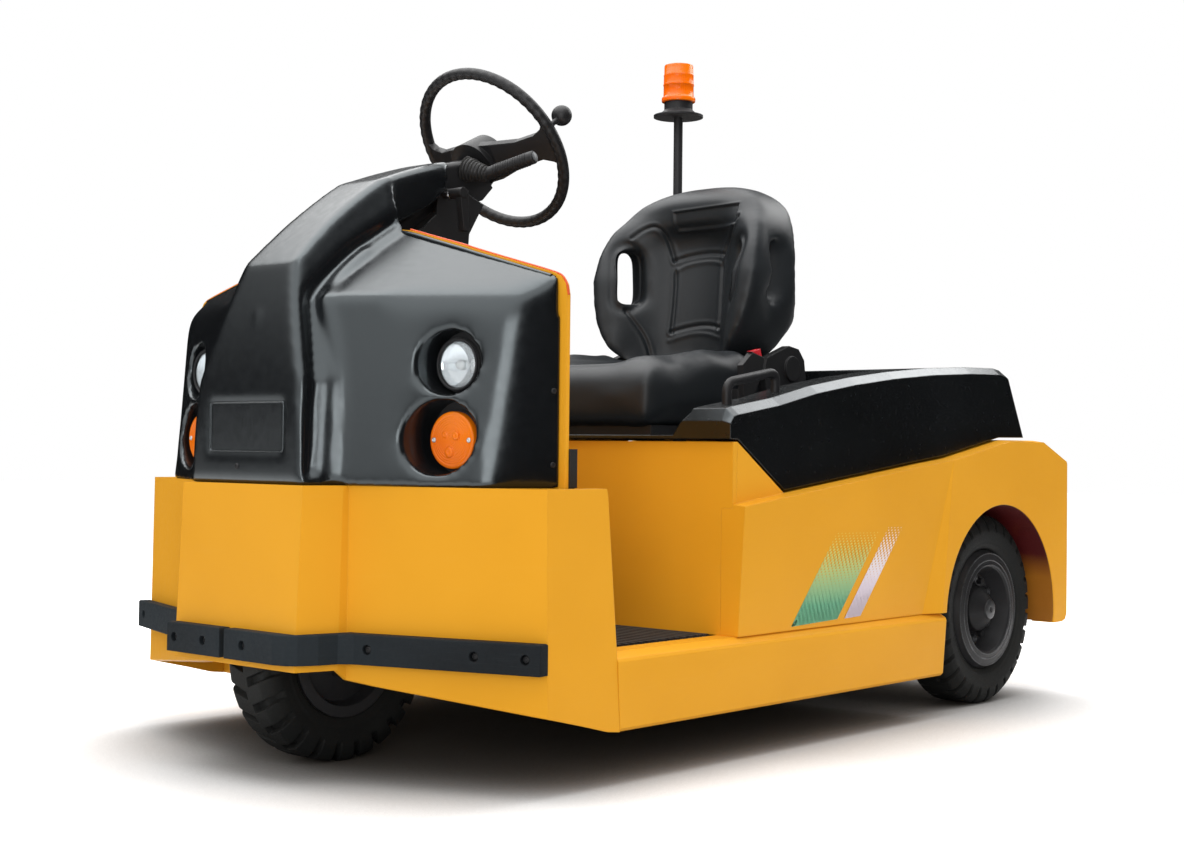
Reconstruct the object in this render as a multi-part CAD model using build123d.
"""Electric tow tractor: three wheels, step-through cab, battery under a hinged seat hood, rear tow jaw.

Millimetres. X runs forward, Y to the driver's left, Z up. The shapes are drawn with X = 0 at the rear
axle, and the finished solids are shifted so that the origin is at the middle of the base.
"""
from build123d import *
import math
import os

os.makedirs("parts", exist_ok=True)

# Overall driving dimensions
WIDTH = 1196.0            # over the body sides
WHEELBASE = 1632.0
FRONT_END = 1897.0        # face of the front rubber bumper
REAR_END = -423.0         # mouth of the tow jaw
MID = (FRONT_END + REAR_END) / 2
HALF = WIDTH / 2

# Wheels
REAR_R = 232.0
REAR_W = 127.0
REAR_Y = 496.0            # middle of the rear tyre
FRONT_R = 212.0
FRONT_W = 125.0
STEER_PIN_R = 24.95
AXLE_PIN_R = 29.95

# Body
SHEET = 8.0
BOW_TOP = 545.0
FLOOR_TOP = 237.0
SILL_TOP = 243.0
BOX_X = 1066.0
BOX_TOP = 635.0
DASH_X0, DASH_X1 = 1545.0, 1555.0

# Steering wheel: centre of the rim plane, direction towards the driver, rim radius
WHEEL_C = (1190.0, 0.0, 1269.3)
WHEEL_N = (-0.8, 0.0, 0.6)
RIM_R = 183.5
RIM_TUBE = 12.0


def box(x0, x1, y0, y1, z0, z1):
    return Pos((x0 + x1) / 2, (y0 + y1) / 2, (z0 + z1) / 2) * Box(x1 - x0, y1 - y0, z1 - z0)


def prism_y(points, y0, y1):
    face = make_face(Polyline(*[(x, y0, z) for x, z in points], close=True))
    return extrude(face, amount=y1 - y0, dir=(0, 1, 0))


def prism_x(points, x0, x1):
    face = make_face(Polyline(*[(x0, y, z) for y, z in points], close=True))
    return extrude(face, amount=x1 - x0, dir=(1, 0, 0))


def prism_z(points, z0, z1):
    face = make_face(Polyline(*[(x, y, z0) for x, y in points], close=True))
    return extrude(face, amount=z1 - z0, dir=(0, 0, 1))


def rod(start, along, radius, length):
    place = Plane(origin=start, z_dir=along)
    return place * Cylinder(radius, length, align=(Align.CENTER, Align.CENTER, Align.MIN))


def taper(start, along, r0, r1, length):
    place = Plane(origin=start, z_dir=along)
    return place * Cone(r0, r1, length, align=(Align.CENTER, Align.CENTER, Align.MIN))


def spin_y(profile, centre):
    """Turn a closed (radius, y) outline about the Y axis through centre."""
    cx, cy, cz = centre
    face = make_face(Polyline(*[(cx, cy + y, cz + r) for r, y in profile], close=True))
    return revolve(face, axis=Axis((cx, cy, cz), (0, 1, 0)))


def trim(shape, a, b, c, inside):
    """Cut a shape by the plane through a, b and c and keep the side that holds the point inside."""
    normal = (Vector(*b) - Vector(*a)).cross(Vector(*c) - Vector(*a)).normalized()
    if normal.dot(Vector(*inside) - Vector(*a)) < 0:
        normal = normal * -1
    return split(shape, bisect_by=Plane(origin=a, z_dir=normal), keep=Keep.TOP)


def left_and_right(shape):
    return shape + mirror(shape, about=Plane.XZ)


def right_of(shape):
    return mirror(shape, about=Plane.XZ)


def soften(shape, edges, radii):
    """Round the edges with the first radius that the shape takes."""
    for radius in radii:
        try:
            done = fillet(edges, radius)
            if done.is_valid:
                return done
        except Exception:
            pass
    return shape


def save(name, shape):
    moved = Pos(-MID, 0, 0) * shape
    solids = moved.solids()
    whole = solids[0] if len(solids) == 1 else Compound(children=list(solids))
    export_step(whole, f"parts/{name}.step")


def half_outline(points):
    """Close an outline given for +Y only, running from the back to the front."""
    return points + [(x, -y) for x, y in reversed(points)]


# The bow: one bent plate round the front wheel, nose in the middle, swept wings, flat sides
bow_low = half_outline([(1350, 598), (1641, 598), (1768, 205), (1791, 205), (1876.3, 182)])
bow_high = half_outline([(1350, 590), (1641, 590), (1768, 207), (1782, 207), (1858, 182)])
low_face = make_face(Polyline(*[(x, y, 90) for x, y in bow_low], close=True))
high_face = make_face(Polyline(*[(x, y, BOW_TOP) for x, y in bow_high], close=True))
bow_outer = loft([low_face, high_face], ruled=True)
low_in = offset(low_face, amount=-SHEET, kind=Kind.INTERSECTION)
high_in = offset(high_face, amount=-SHEET, kind=Kind.INTERSECTION)
bow_inner = loft([low_in.faces()[0], high_in.faces()[0]], ruled=True)
bow = bow_outer - bow_inner
flange_hole = half_outline([(1300, 560), (1558, 560), (1570, 515), (1630, 478), (1772, 178), (1836, 155)])
flange = (bow_outer & box(1300, 1900, -600, 600, BOW_TOP - 6, BOW_TOP)) - prism_z(flange_hole, 530, 550)
bow = bow + flange
bow_under = [(1200, 40), (1200, 96), (1446, 98), (1480, 102), (1546, 119), (1641, 142), (1744, 176),
             (1768, 186), (1792, 205), (1900, 205), (1900, 40)]
bow = bow - prism_y(bow_under, -700, 700)
bow_back = [(1200, 60), (1446, 60), (1446, 98), (1454, 245), (1477, 534), (1485, 560), (1200, 560)]
bow = bow - prism_y(bow_back, -700, 700)
save("bow_plate", bow)

# Rubber bumpers: bent strips in front of the bow
BUMPER_Z0, BUMPER_Z1 = 219.0, 275.0
STRIP = 26.0


def wing_point(y, out):
    """A point of the bumper on the left wing: y along the wing, out in front of its plate."""
    x = 1641 + (598 - y) * 0.3231
    return (x + out * 0.9515, y + out * 0.3075)


left_strip = [(1871.5, 7), (FRONT_END, 7), (FRONT_END, 150), (1890, 180), (1876, 196), (1842, 214), (1803, 222),
              wing_point(236, STRIP + 1.5), wing_point(594, STRIP + 1.5), wing_point(597, 1.5),
              wing_point(214, 1.5), (1791, 207.5), (1871.5, 186)]
right_nose = [(1871.5, -7), (FRONT_END, -7), (FRONT_END, -172), (1871.5, -172)]
wing_only = [wing_point(596, 1.5), wing_point(594, STRIP + 1.5), wing_point(292, STRIP + 1.5), wing_point(288, 1.5)]
bolt_r = 9.0


def strip(outline):
    body = prism_z(outline, BUMPER_Z0, BUMPER_Z1)
    return soften(body, body.edges().filter_by(Axis.Z, reverse=True).group_by(Axis.Z)[-1], (4, 2))


bumper_left = strip(left_strip)
bumper_left -= rod((FRONT_END - 12, 60, 247), (1, 0, 0), bolt_r, 30)
for y in (262.0, 470.0, 566.0):
    x, yy = wing_point(y, STRIP - 10)
    bumper_left -= rod((x, yy, 247), (0.9515, 0.3075, 0), bolt_r, 40)
save("bumper_left", bumper_left)
bumper_nose_right = strip(right_nose)
for y in (-60.0, -150.0):
    bumper_nose_right -= rod((FRONT_END - 12, y, 247), (1, 0, 0), bolt_r, 30)
bumper_wing = strip(wing_only)
for y in (330.0, 560.0):
    x, yy = wing_point(y, STRIP - 10)
    bumper_wing -= rod((x, yy, 247), (0.9515, 0.3075, 0), bolt_r, 40)
save("bumper_right", bumper_nose_right + right_of(bumper_wing))

# Sills with the frame rails that run on behind the bow
sill_shape = [(528, 98), (592, 98), (598, 104), (598, 226), (595, 232), (584, 238), (574, SILL_TOP), (528, SILL_TOP)]
sill = prism_x(sill_shape, 250, 1470)
sill = trim(sill, (1446, 0, 98), (1446, 10, 98), (1453.7, 0, 243), (800, 560, 150))
sill = trim(sill, (286, 0, 100), (286, 10, 100), (268.5, 0, 243), (800, 560, 150))
sill = sill + prism_y([(1448, 150), (1453, 243), (1600, 243), (1600, 150)], 528, 584)
save("sills", left_and_right(sill))

# Floor of the step-through cab, battery tray and cross members
housing_half = 246.0
HOUSING_X0 = 1380.0
floor = box(BOX_X, DASH_X0, -528, 528, FLOOR_TOP - 6, FLOOR_TOP)
floor -= box(HOUSING_X0, 1600, -housing_half, housing_half, 200, 260)
floor += box(1074, 1114, -528, 528, 150, FLOOR_TOP - 6)
floor += box(1330, 1370, -528, 528, 150, FLOOR_TOP - 6)
save("cab_floor", floor)
mat = box(1074, 1540, -524, 524, FLOOR_TOP, FLOOR_TOP + 4)
for k in range(20):
    x = 1080 + 22.5 * k
    mat += box(x, x + 11, -520, 520, FLOOR_TOP + 4, FLOOR_TOP + 9)
mat -= box(HOUSING_X0 - 2, 1600, -housing_half - 2, housing_half + 2, 200, 300)
save("floor_mat", mat)
tray = box(330, 1060, -520, 520, 140, 148)
for x in (330, 1020):
    tray += box(x, x + 40, -520, 520, 100, 140)
tray += box(330, 336, -520, 520, 148, 600)
battery = box(352, 1030, -470, 470, 148.5, 596)
for x in (520, 690, 860):
    battery -= box(x - 2, x + 2, -440, 440, 590, 600)
save("battery", battery)

# Front wall of the battery box, open bay behind it
front_wall = box(BOX_X - 14, BOX_X, -567, 567, SILL_TOP, BOX_TOP)
front_wall -= box(BOX_X - 14, BOX_X, 538, 600, SILL_TOP, 500)
front_wall -= box(BOX_X - 14, BOX_X, -600, -538, SILL_TOP, 500)
front_wall += box(BOX_X - 60, BOX_X - 14, -530, 530, BOX_TOP - 6, BOX_TOP)
save("box_front", front_wall)

# Body side: shoulder line, leaning side panel, wheel arch and rear fender
ARCH_R = 270.0
ARCH_Z = 221.0
LEDGE_Y = 567.0
SIDE_Y0 = 538.0


def side_points(rise):
    return [(BOX_X, SILL_TOP), (BOX_X, 505 + rise), (329, 590 + rise), (241, 599 + rise), (-32, 646 + rise),
            (-212, 646 + rise), (-340, 597 + rise), (-343, 590), (-343, 205), (-336, 190), (-318, 184), (-262, 184),
            (-200, 184), (200, 184), (268.5, SILL_TOP)]


def side_face(y, rise):
    return make_face(Polyline(*[(x, y, z) for x, z in side_points(rise)], close=True))


side = loft([side_face(HALF, 0), side_face(LEDGE_Y, 4)], ruled=True)
side += extrude(side_face(LEDGE_Y, 4), amount=LEDGE_Y - SIDE_Y0, dir=(0, -1, 0))
arch_tool = rod((0, 400, ARCH_Z), (0, 1, 0), ARCH_R, 300)
side -= arch_tool
side -= prism_y([(-ARCH_R, ARCH_Z), (-262, 100), (300, 100), (286, 100), (ARCH_R, ARCH_Z)], 400, 700)
# leaning side panel between the shoulder and the sill, with its bent end wall
panel_cut = box(200, 1100, 560, 640, 200, 620)
panel_cut = trim(panel_cut, (BOX_X, 598, 505), (329, 598, 590), (BOX_X, 583, 245), (700, 620, 300))
panel_cut = trim(panel_cut, (290, 598, 233), (241, 598, 596), (345, 579, 240), (800, 598, 300))
side -= panel_cut
# upper wall above the ledge at the box's front corner
side += prism_y([(BOX_X, 500), (BOX_X, BOX_TOP), (1052, BOX_TOP), (889, 530), (870, 510)], 551, LEDGE_Y)
side -= box(BOX_X - 14.01, BOX_X + 5, 500, LEDGE_Y + 0.01, 500, 700)
side_rear_rib = box(-335, -300, 500, 538, 190, 590)
side += side_rear_rib
save("body_side_left", side)
save("body_side_right", right_of(side))

# Rear: upright plate, deck behind the hood, inner wheel walls
rear_plate = box(-343, -335, -500, 500, 184, 596)
deck_points = [(-343, 590), (-343, 597), (-340, 601), (-212, 646), (-180, 646), (-180, 638), (-212, 638), (-335, 595),
               (-335, 590)]
save("rear_panel", prism_y(deck_points, -537.9, 537.9) + rear_plate)
liner = rod((0, 415, ARCH_Z), (0, 1, 0), ARCH_R + 6, 122.9) - rod((0, 414, ARCH_Z), (0, 1, 0), ARCH_R, 130)
liner -= box(-400, 400, 300, 600, -100, ARCH_Z)
liner += box(-ARCH_R - 6, ARCH_R + 6, 409, 415, 140, 520) & rod((0, 405, ARCH_Z), (0, 1, 0), ARCH_R + 6, 20)
liner -= rod((0, 400, REAR_R), (0, 1, 0), 62, 60)
liner -= box(200, 400, 520, 600, -100, SILL_TOP + 0.5)
save("wheel_liners", left_and_right(liner))

# Rear axle, gear case and traction motor
axle = rod((0, -406, REAR_R), (0, 1, 0), 45, 812)
axle += rod((0, -110, REAR_R), (0, 1, 0), 120, 220)
for side_sign in (-1, 1):
    axle += rod((0, side_sign * 406, REAR_R), (0, side_sign, 0), 55, 12)
    axle += rod((0, side_sign * 418, REAR_R), (0, side_sign, 0), AXLE_PIN_R, 84)
motor = rod((0, 0, 300), (0, 0, 1), 105, 264) + rod((0, 0, 564), (0, 0, 1), 60, 14)
save("rear_axle", axle + motor)
hanger = prism_y([(-90, 300), (-90, 330), (331, 330), (331, 230), (296, 230), (60, 270)], 200, 240)
hanger -= rod((0, 150, REAR_R), (0, 1, 0), 45.2, 200)
save("battery_tray", tray + left_and_right(hanger + box(-40, 40, 200, 240, 277.5, 300)))

# Rear wheels
TYRE_IN = REAR_R - 86
rear_profile = [(TYRE_IN, -46), (168, -60), (196, -REAR_W / 2), (214, -58), (226, -48), (REAR_R, -30), (REAR_R, 30),
                (226, 48), (214, 58), (196, REAR_W / 2), (168, 60), (TYRE_IN, 46)]


def block_tyre(profile, radius, width, count, depth, gap, lean, land):
    tyre = spin_y(profile, (0, 0, 0))
    tool = Pos(0, 0, radius) * Rot(0, 0, lean) * box(-gap / 2, gap / 2, land, width, -depth, 20)
    other = Pos(0, 0, radius) * Rot(0, 0, -lean) * box(-gap / 2, gap / 2, -width, -land, -depth, 20)
    step = 360 / count
    tools = [Rot(0, step * k, 0) * tool for k in range(count)]
    tools += [Rot(0, step * (k + 0.5), 0) * other for k in range(count)]
    return tyre.cut(*tools)


def put(shape, place):
    return Pos(*place) * shape


rear_tyre = block_tyre(rear_profile, REAR_R, REAR_W / 2 + 4, 30, 8, 13, 12, 15)
rear_rim_profile = [(AXLE_PIN_R + 0.05, -40), (92, -40), (98, -46), (TYRE_IN, -46), (TYRE_IN, 46), (138, 62), (109, 65),
                    (104, 60), (97, 40), (88, 18), (66, 12), (60, 16), (54, 40), (34, 58), (22, 68), (0, 68), (0, 10),
                    (AXLE_PIN_R + 0.05, 10)]
rear_rim = spin_y(rear_rim_profile, (0, 0, 0))
for k in range(6):
    turn = Rot(0, 60 * k, 0)
    rear_rim += turn * rod((76, 10, 0), (0, 1, 0), 8, 16)
for tag, sign in (("left", 1), ("right", -1)):
    tyre_here = rear_tyre if sign > 0 else right_of(rear_tyre)
    rim_here = rear_rim if sign > 0 else right_of(rear_rim)
    save(f"tyre_rear_{tag}", put(tyre_here, (0, sign * REAR_Y, REAR_R)))
    save(f"rim_rear_{tag}", put(rim_here, (0, sign * REAR_Y, REAR_R)))

# Front wheel in its steered fork
FRONT_IN = 126.0
front_profile = [(FRONT_IN, -46), (150, -58), (180, -FRONT_W / 2), (198, -57), (208, -48), (FRONT_R, -38),
                 (FRONT_R, 38), (208, 48), (198, 57), (180, FRONT_W / 2), (150, 58), (FRONT_IN, 46)]
front_tyre = block_tyre(front_profile, FRONT_R, FRONT_W / 2 + 4, 24, 11, 17, 20, 5)
save("tyre_front", put(front_tyre, (WHEELBASE, 0, FRONT_R)))
front_rim_profile = [(20.05, -60), (46, -60), (50, -40), (96, -30), (104, -54), (FRONT_IN, -54), (FRONT_IN, 54),
                     (104, 54), (96, 30), (50, 40), (46, 60), (20.05, 60)]
save("rim_front", put(spin_y(front_rim_profile, (0, 0, 0)), (WHEELBASE, 0, FRONT_R)))
CROWN_Z = 436.0
leg = prism_y([(WHEELBASE - 40, 190), (WHEELBASE - 26, 176), (WHEELBASE + 26, 176), (WHEELBASE + 40, 190),
               (WHEELBASE + 60, CROWN_Z), (WHEELBASE - 60, CROWN_Z)], 72, 88)
fork = left_and_right(leg) + box(WHEELBASE - 75, WHEELBASE + 75, -88, 88, CROWN_Z, CROWN_Z + 12)
fork += rod((WHEELBASE, 0, CROWN_Z + 12), (0, 0, 1), 78, 10)
fork += rod((WHEELBASE, 0, CROWN_Z + 20), (0, 0, 1), STEER_PIN_R, 82)
fork += rod((WHEELBASE, -95, FRONT_R), (0, 1, 0), 20, 190)
save("steer_fork", fork)
steer_plate = box(1380, 1738, -housing_half, housing_half, 464, 480)
steer_plate += rod((WHEELBASE, 0, 480), (0, 0, 1), 52, 44)
steer_plate -= rod((WHEELBASE, 0, 440), (0, 0, 1), STEER_PIN_R + 0.05, 120)
housing = box(1380, 1386, -housing_half, housing_half, FLOOR_TOP - 6, 464)
housing += box(1386, DASH_X0, 240, housing_half, FLOOR_TOP - 6, 464)
housing += box(1386, DASH_X0, -housing_half, -240, FLOOR_TOP - 6, 464)
for sign in (1, -1):
    steer_plate += box(DASH_X1, 1738, min(sign * 240, sign * 246), max(sign * 240, sign * 246), 300, 464)
save("steer_mount", steer_plate + housing)

# Dash plate: the cab's front wall, rising behind the cowl
dash_half = [(0, FLOOR_TOP), (528, FLOOR_TOP), (528, 246), (579, 246), (579, 536), (553, 536), (553, 898),
             (549, 918), (539, 932), (523, 940), (318, 996), (285, 1006), (138, 1045), (60, 1056), (0, 1056)]
dash_outline = dash_half + [(-y, z) for y, z in reversed(dash_half[1:-1])]
dash = prism_x(dash_outline, DASH_X0, DASH_X1)
dash -= box(1500, 1600, -housing_half, housing_half, 200, 480)
save("dash_plate", dash)
pads = box(1526, 1544, 538, 557, 546, 617) + box(1526, 1544, 538, 551, 300, 546)
buffer = rod((1030, 400, BOX_TOP), (0, 0, 1), 14, 4.7)
save("rubber_pads", left_and_right(pads + buffer))

# Cowl: nose and spine in the middle, a lamp lobe on each side
nose_line = [
    Line((1852, 0, BOW_TOP), (1851, 0, 640)),
    ThreePointArc((1851, 0, 640), (1839, 0, 789), (1800, 0, 965)),
    ThreePointArc((1800, 0, 965), (1694, 0, 1065), (1575, 0, 1151)),
    ThreePointArc((1575, 0, 1151), (1482, 0, 1184), (1385, 0, 1213)),
    Line((1385, 0, 1213), (1396, 0, 1150)),
    Line((1396, 0, 1150), (1440, 0, 1112)),
    Line((1440, 0, 1112), (1540, 0, 1062)),
    Line((1540, 0, 1062), (DASH_X1, 0, 1056.5)),
    Line((DASH_X1, 0, 1056.5), (DASH_X1, 0, BOW_TOP)),
    Line((DASH_X1, 0, BOW_TOP), (1852, 0, BOW_TOP)),
]
nose_side = Face(Wire([edge.edge() for edge in nose_line]))
nose_all = extrude(nose_side, amount=300, dir=(0, 1, 0), both=True)
MIDDLE = (1650, 0, 700)
nose = nose_all & box(DASH_X1, 1900, -400, 400, BOW_TOP, 1300)
spine = nose_all
for sign in (1, -1):
    nose = trim(nose, (1852, sign * 172, 545), (1788, sign * 190, 545), (1844, sign * 161, 700), MIDDLE)
    nose = trim(nose, (1838, sign * 140, 789), (1774, sign * 158, 789), (1800, sign * 80, 965), MIDDLE)
    spine = trim(spine, (1800, sign * 79, 965), (1800, sign * 86, 600), (1323, sign * 70, 1229), MIDDLE)
long_edges = spine.edges().filter_by(lambda e: e.center().Z > 968 and e.length > 120 and abs(e.center().Y) > 60)
top_edges = long_edges.filter_by(lambda e: e.center().Z > 1050)
spine = soften(spine, top_edges, (16, 10, 6))
front_edges = nose.edges().filter_by(lambda e: e.center().X > 1800 and abs(e.center().Y) > 75 and e.length > 60
                                     and e.center().Z > 560)
nose = soften(nose, front_edges, (14, 8, 4))


def lobe_shape():
    lobe = box(DASH_X1, 1830, 0, 560, BOW_TOP, 1090)
    core = (1620, 300, 700)
    lobe = trim(lobe, (1788, 190, 545), (1686.6, 450, 545), (1757.7, 176, 885), core)
    lobe = trim(lobe, (1642, 492, 545), (1555, 541, 545), (1555, 540, 880), core)
    lobe = trim(lobe, (1743, 210, 899), (1644, 464, 896), (1550, 326, 993), core)
    lobe = trim(lobe, (1741, 160, 914.4), (1560, 160, 1038.5), (1560, 78, 1047), core)
    corner = lobe.edges().filter_by(lambda e: abs(e.center().Y - 472) < 14 and e.length > 250)
    lobe = soften(lobe, corner, (60, 38, 24))
    upper = lobe.edges().filter_by(lambda e: e.center().Z > 880 and e.center().Y > 250 and e.center().X > 1556
                                   and e.length > 20)
    return soften(lobe, upper, (16, 10, 6, 3))


lobe = lobe_shape()
cowl = nose + spine + lobe + right_of(lobe)
# open underside of the spine where the steering column runs
cowl -= prism_y([(1300, 1226), (1323, 1219.5), (1423, 1188), (1500, 1164), (1548, 1144), (1552, 1136), (1552, 1057), (1552, 1000),
                 (1300, 1000)], -58, 58)
cowl -= prism_y([(1843, 601), (1843, 705), (1900, 705), (1900, 601)], -118, 118) & \
    box(1844, 1900, -118, 118, 601, 705)
HEAD = (379.0, 773.0, 60.0)        # Y, Z and radius of the headlamp recess
TURN = (373.0, 636.0, 69.0)        # the same for the indicator
LAMP_X = 1640.0
for y, z, radius in (HEAD, TURN):
    for sign in (1, -1):
        cowl -= rod((LAMP_X, sign * y, z), (1, 0, 0), radius, 200)
save("cowl", cowl)

# Lamps: a housing at the bottom of each recess, its lens turned a little outwards
bowls = []
lens = []
ambers = []
for sign in (1, -1):
    out = (0.996, sign * 0.0872, 0)
    bowl = rod((LAMP_X, sign * HEAD[0], HEAD[1]), (1, 0, 0), HEAD[2] - 0.3, 8)
    bowl += rod((LAMP_X + 6, sign * 379, 770), out, 49, 12)
    bowls.append(bowl - rod((LAMP_X + 8, sign * 379.4, 770), out, 44.2, 30))
    glass = rod((LAMP_X + 8.2, sign * 379.4, 770), out, 44, 11)
    glass += taper((LAMP_X + 19.1, sign * 380.3, 770), out, 44, 38, 4)
    glass += taper((LAMP_X + 23, sign * 380.7, 770), out, 38, 24, 3)
    lens.append(glass)
    base = rod((LAMP_X, sign * TURN[0], TURN[1]), (1, 0, 0), TURN[2] - 0.3, 10)
    base += rod((LAMP_X + 6, sign * 376, 631), out, 56, 12)
    bowls.append(base)
    amber = rod((LAMP_X + 18.2, sign * 377, 631), out, 53, 12)
    amber += taper((LAMP_X + 30.1, sign * 378, 631), out, 53, 49, 4)
    for dy, dz, r in ((-16, 10, 5), (12, 8, 7), (-5, -22, 9)):
        amber += rod((LAMP_X + 32, sign * 378.4 + dy, 631 + dz), out, r, 4.5)
    ambers.append(amber)
save("lamp_bezels", bowls[0] + bowls[1] + bowls[2] + bowls[3])
save("headlamp_lenses", lens[0] + lens[1])
save("indicator_lenses", ambers[0] + ambers[1])

# Instrument panel, horn button and pedals on the driver's side of the dash plate
panel = prism_y([(DASH_X0, 820), (DASH_X0, 930), (1520, 930), (1496, 905), (1508, 820)], 180, 420)
panel += rod((1503, 380, 870), (-0.94, 0, 0.34), 12, 16)
panel += box(1500, 1504, 220, 320, 850, 890)
save("instrument_panel", panel)
pedal_list = []
for y in (-330, -440):
    pad = prism_y([(1440, 262), (1480, 330), (1488, 326), (1448, 258)], y - 38, y + 38)
    arm = prism_y([(1470, 300), (1476, 311), (DASH_X0, 330), (DASH_X0, 316)], y - 8, y + 8)
    pedal_list.append(pad + arm)
save("pedals", pedal_list[0] + pedal_list[1])


# Steering column: everything along the axis that runs down from the wheel
def along(t, side_off=0.0, lift=0.0):
    """A point t below the rim plane on the column axis, moved sideways and upwards from it."""
    cx, cy, cz = WHEEL_C
    nx, ny, nz = WHEEL_N
    return (cx - nx * t + nz * lift, cy + side_off, cz - nz * t - nx * lift)


down = (-WHEEL_N[0], 0.0, -WHEEL_N[2])
column = rod(along(88), down, 15, 327)
column -= rod(along(86), down, 12.0, 44)
save("steering_column", column)


shroud = prism_y([(1381, 1211), (1313, 1225), (1277, 1236), (1231, 1176.5), (1262, 1146), (1381, 1110)], -40, 40)
shroud = soften(shroud, shroud.edges().filter_by(lambda e: e.center().Z > 1212 and abs(e.center().Y) > 30), (14, 9, 5))
shroud -= rod(along(80), down, 15.05, 200)
save("column_shroud", shroud)
lever_base = (1312, 40.2, 1206)
boot_dir = (-0.27, 0.933, -0.233)
boot = taper(lever_base, boot_dir, 25, 22, 12)
for k in range(5):
    start = tuple(a + 9.7 * (k + 1) * d for a, d in zip(lever_base, boot_dir))
    boot += taper(start, boot_dir, 25 - 2.3 * k, 20 - 2.3 * k, 11)
boot -= box(1000, 1500, 0, 40.2, 900, 1400)
grip_start = (1297, 90, 1194)
lever = rod(grip_start, (-0.225, 0.943, 0.243), 14, 118)
lever = soften(lever, lever.edges().filter_by(lambda e: e.center().Y > grip_start[1] + 60), (5, 3))
bracket = prism_y([(1268, 1135), (1290, 1100), (1310, 1068), (1312, 1040), (1325, 985), (1543, 935), (1543, 1030),
                   (1442, 1068), (1404, 1100), (1400, 1154), (1340, 1162)], 44, 50)
bracket_pair = left_and_right(bracket) + box(1532, 1544.5, -50, 50, 985, 1052)
save("column_bracket", bracket_pair)
clamp = rod((1385, 50.2, 1142), (0, 1, 0), 7, 14) + rod((1382, 64, 1144), (0, 1, 0), 11, 42)
clamp += prism_y([(1366, 1150), (1390, 1150), (1378, 1065), (1362, 1065)], 88, 104)
save("column_levers", boot + lever + clamp)

# Steering wheel
wheel_plane = Plane(origin=WHEEL_C, x_dir=(0, 1, 0), z_dir=WHEEL_N)
spoke_plan = make_face(Polyline((20, -44), (60, -40), (110, -27), (150, -27), (168, -36), (183, -60), (183, 60),
                                (168, 42), (150, 30), (110, 30), (60, 42), (20, 46), close=True))
spoke_plan = extrude(spoke_plan, amount=200, both=True)
spoke_side = [(20, -70), (60, -66), (178, -9), (184, -5), (184, 8), (172, 6), (60, -48), (20, -50)]
spoke_side = extrude(make_face(Polyline(*[(x, -100, z) for x, z in spoke_side], close=True)), amount=200, dir=(0, 1, 0))
spoke = spoke_plan & spoke_side
wheel = spoke + mirror(spoke, about=Plane.YZ)
wheel += Pos(0, 0, -47) * Cone(56, 44, 66) + Pos(0, 0, -10) * Cylinder(33, 10)
wheel += Pos(0, 0, -98) * Cylinder(11.95, 54)
rim_ring = [(RIM_R + RIM_TUBE * math.cos(math.radians(30 * k + 1)), 0, RIM_TUBE * math.sin(math.radians(30 * k + 1)))
            for k in range(12)]
wheel += revolve(make_face(Polyline(*rim_ring, close=True)), axis=Axis.Z)
wheel += Rot(0, 0, -10) * (Pos(RIM_R, 0, 24) * Cylinder(6, 30) + Pos(RIM_R, 0, 52) * Sphere(22))
save("steering_wheel", wheel_plane * wheel)

# Hood over the battery, with raised side pods and a bay for the seat
hood_top = [(1075, 672), (1063, 686), (1048, 690), (905, 712), (764, 742), (615, 765), (455, 784), (287, 799),
            (106, 809), (-37, 812), (-70, 808), (-81, 803)]
hood_under = [(-160, 657), (-32, 656), (241, 609), (329, 600), (885.5, 535), (1049, 640), (1075, 640)]


def hood_face(y, rise):
    top = [(x, z + rise * min(1.0, (1080 - x) / 17)) for x, z in hood_top]
    return make_face(Polyline(*[(x, y, z) for x, z in top + hood_under], close=True))


hood_outer = extrude(hood_face(-546, 17), amount=1092, dir=(0, 1, 0))
edge_part = loft([hood_face(546, 17), hood_face(567, 0)], ruled=True)
hood_outer = hood_outer + edge_part + right_of(edge_part)
bay_half = [(0, 648), (418, 648), (436, 672), (458, 694), (464, 708), (464, 950), (0, 950)]
bay_outline = bay_half + [(-y, z) for y, z in reversed(bay_half[1:-1])]
bay = prism_x(bay_outline, 330, 1100)
hood_solid = hood_outer - bay
inner_top = [(1069, 660), (1048, 682), (905, 705), (764, 735), (615, 758), (455, 777), (287, 792), (106, 802),
             (-37, 805), (-72, 798), (-150, 657), (-150, 500), (1069, 500)]
cavity = prism_y(inner_top, -561, 561) - box(323, 1100, -471, 471, 640, 960)
hood = hood_solid - cavity

# Hood hinge on the rear deck
HINGE_X, HINGE_Z = -176.0, 659.0
fixed = []
moving = []
for y in (-380, 380):
    knuckles = rod((HINGE_X, y - 42, HINGE_Z), (0, 1, 0), 9, 22) + rod((HINGE_X, y + 20, HINGE_Z), (0, 1, 0), 9, 22)
    knuckles += box(HINGE_X - 22, HINGE_X + 5, y - 42, y - 20, 646, 652)
    knuckles += box(HINGE_X - 22, HINGE_X + 5, y + 20, y + 42, 646, 652)
    knuckles += rod((HINGE_X, y - 44, HINGE_Z), (0, 1, 0), 4.95, 88)
    fixed.append(knuckles)
    leaf = rod((HINGE_X, y - 19, HINGE_Z), (0, 1, 0), 9, 38)
    leaf += prism_y([(HINGE_X, 661), (HINGE_X, 668), (-153, 690), (-145, 684), (-154, 667)], y - 19, y + 19)
    leaf -= rod((HINGE_X, y - 50, HINGE_Z), (0, 1, 0), 5.0, 100)
    moving.append(leaf)
save("hinge_knuckles", fixed[0] + fixed[1])
save("hood", hood + moving[0] + moving[1])

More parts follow.
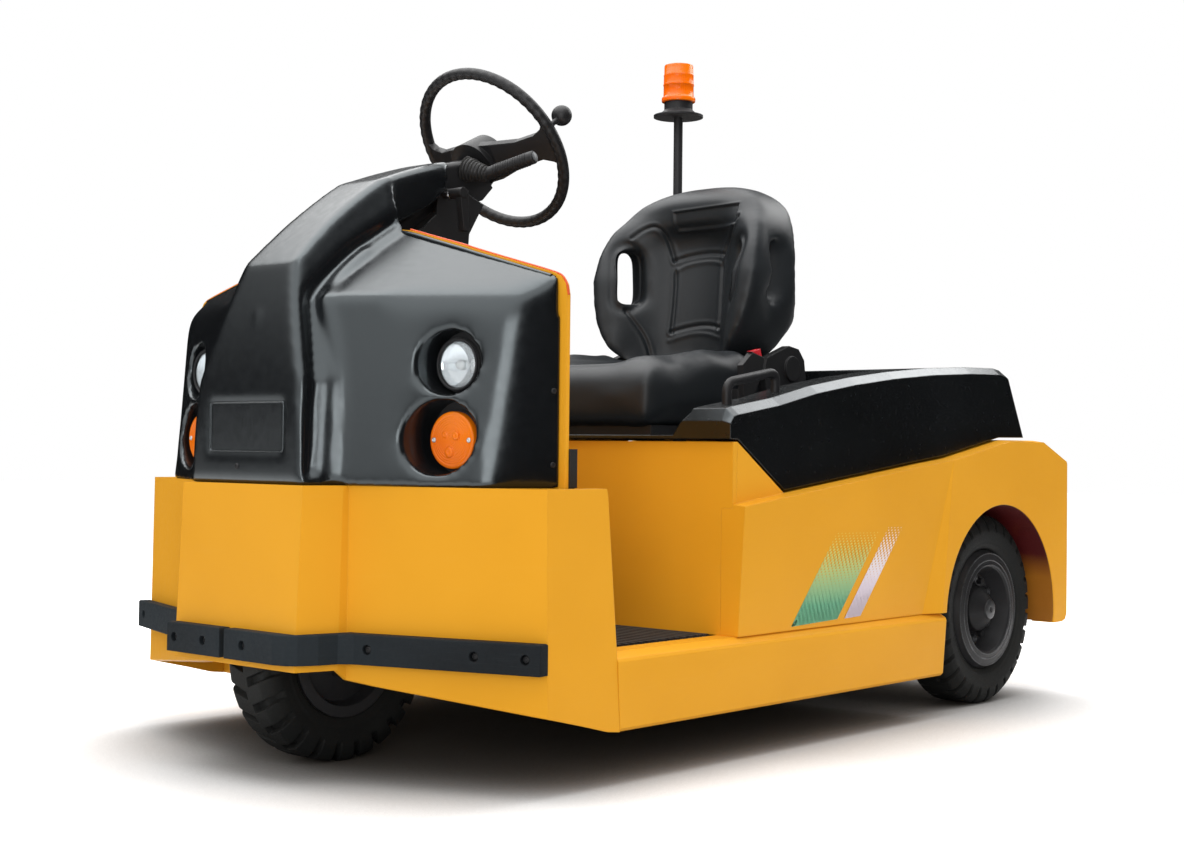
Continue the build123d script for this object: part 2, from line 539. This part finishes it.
# Grab handle on the left pod
HANDLE_Y = 500.0
corner_a = (1000, HANDLE_Y, 758)
corner_b = (828, HANDLE_Y, 787)
bar_dir = Vector(*corner_b) - Vector(*corner_a)
handle = rod((1000, HANDLE_Y, 690), (0, 0, 1), 8, 68) + Pos(*corner_a) * Sphere(8.02)
handle += rod(corner_a, tuple(bar_dir), 8, bar_dir.length) + Pos(*corner_b) * Sphere(8.02)
handle += rod((828, HANDLE_Y, 700), (0, 0, 1), 8, 87)
save("grab_handle", handle - hood_outer)

# Seat on the hood deck
CUSHION_Y = 232.0
cushion = prism_y([(486, 673), (486, 800), (560, 812), (880, 810), (920, 796), (936, 768), (936, 690), (920, 673)],
                  -CUSHION_Y, CUSHION_Y)
bolster = prism_y([(520, 780), (520, 815), (580, 835), (700, 838), (790, 822), (850, 790)], CUSHION_Y - 48, CUSHION_Y)
cushion = cushion + left_and_right(bolster)
save("seat_cushion", cushion)
back_side = [(394, 850), (362, 936), (385, 1045), (378, 1115), (352, 1205), (358, 1240), (384, 1266), (410, 1272),
             (445, 1262), (476, 1240), (492, 1212), (528, 1170), (556, 1112), (576, 1045), (588, 941), (603, 870),
             (600, 842), (480, 842)]
back_front = [(0, 842), (150, 846), (198, 880), (232, 936), (254, 1045), (246, 1110), (226, 1170), (209, 1212),
              (184, 1244), (140, 1262), (0, 1272)]
back_outline = back_front + [(-y, z) for y, z in reversed(back_front[1:-1])]
seat_back = prism_y(back_side, -260, 260) & prism_x(back_outline, 280, 700)
seat_back -= rod((813, 0, 780), (-45, 0, 408), 268, 420)
for sign in (1, -1):
    slot_place = Plane(origin=(573, sign * 140, 1050), x_dir=(0, 0, 1), z_dir=(-0.75, sign * 0.66, 0))
    seat_back -= slot_place * extrude(SlotOverall(150, 50), amount=260, both=True)
save("seat_back", seat_back)
PIVOT_Y = 236.0
pivot = prism_y([(400, 672.2), (358, 790), (366, 838), (390, 864), (430, 870), (470, 856), (520, 838), (530, 800),
                 (500, 672.2)], PIVOT_Y, PIVOT_Y + 21)
pivot += rod((420, PIVOT_Y + 21, 815), (0, 1, 0), 30, 6)
pivot += box(440, 500, 215.2, PIVOT_Y + 21, 650, 672.8)
save("seat_base", left_and_right(pivot) + box(440, 900, -216, 216, 648, 672))
buckle = prism_y([(600, 735), (560, 800), (556, 836), (600, 846), (640, 815), (632, 735)], 258, 274)
buckle += box(596, 636, CUSHION_Y + 0.5, 258.5, 735, 760)
button = prism_y([(562, 838), (568, 856), (606, 848), (602, 847.5)], 260, 272)
save("belt_button", button - buckle)
retractor = box(540, 620, -290, -252, 760, 838) + box(540, 620, -253, -CUSHION_Y - 0.5, 740, 770)
save("belt_fittings", buckle + retractor)

# Beacon on its pole behind the seat
BX, BY = 256.0, -230.0
pole = rod((BX, BY, 790), (0, 0, 1), 12, 716) + rod((BX, BY, 790), (0, 0, 1), 32, 40)
pole = pole - hood_outer
disc = rod((BX, BY, 1504), (0, 0, 1), 66, 6) + taper((BX, BY, 1510), (0, 0, 1), 54, 38, 14)
disc += rod((BX, BY, 1524), (0, 0, 1), 38, 21)
save("beacon_pole", pole + disc)
dome = rod((BX, BY, 1545), (0, 0, 1), 45, 12) + rod((BX, BY, 1557), (0, 0, 1), 40.5, 60)
dome += rod((BX, BY, 1617), (0, 0, 1), 39, 28)
save("beacon_lens", dome)

# Rear lamps and the tow jaw with its lifting pin
tail = []
for sign in (1, -1):
    lamp = box(-355, -343, min(sign * 380, sign * 480), max(sign * 380, sign * 480), 520, 570)
    tail.append(lamp)
save("tail_lamps", tail[0] + tail[1])
JAW_Y = 60.0
PIN_X = -388.0
PIN_R = 12.45
jaw = box(-357, -343, -90, 90, 240, 470)
for z in (260, 330, 400):
    jaw += box(REAR_END, -357, -JAW_Y, JAW_Y, z, z + 16)
jaw += box(-375, -357, JAW_Y - 16, JAW_Y, 276, 400) + box(-375, -357, -JAW_Y, -JAW_Y + 16, 276, 400)
jaw -= rod((PIN_X, 0, 200), (0, 0, 1), PIN_R + 0.05, 300)
save("tow_jaw", jaw)
pin = rod((PIN_X, 0, 250), (0, 0, 1), PIN_R, 200) + rod((PIN_X, 0, 416.3), (0, 0, 1), 18, 8)
ring = Pos(PIN_X, 0, 470) * (Plane.XZ * Torus(20, 5))
save("tow_pin", pin + ring)
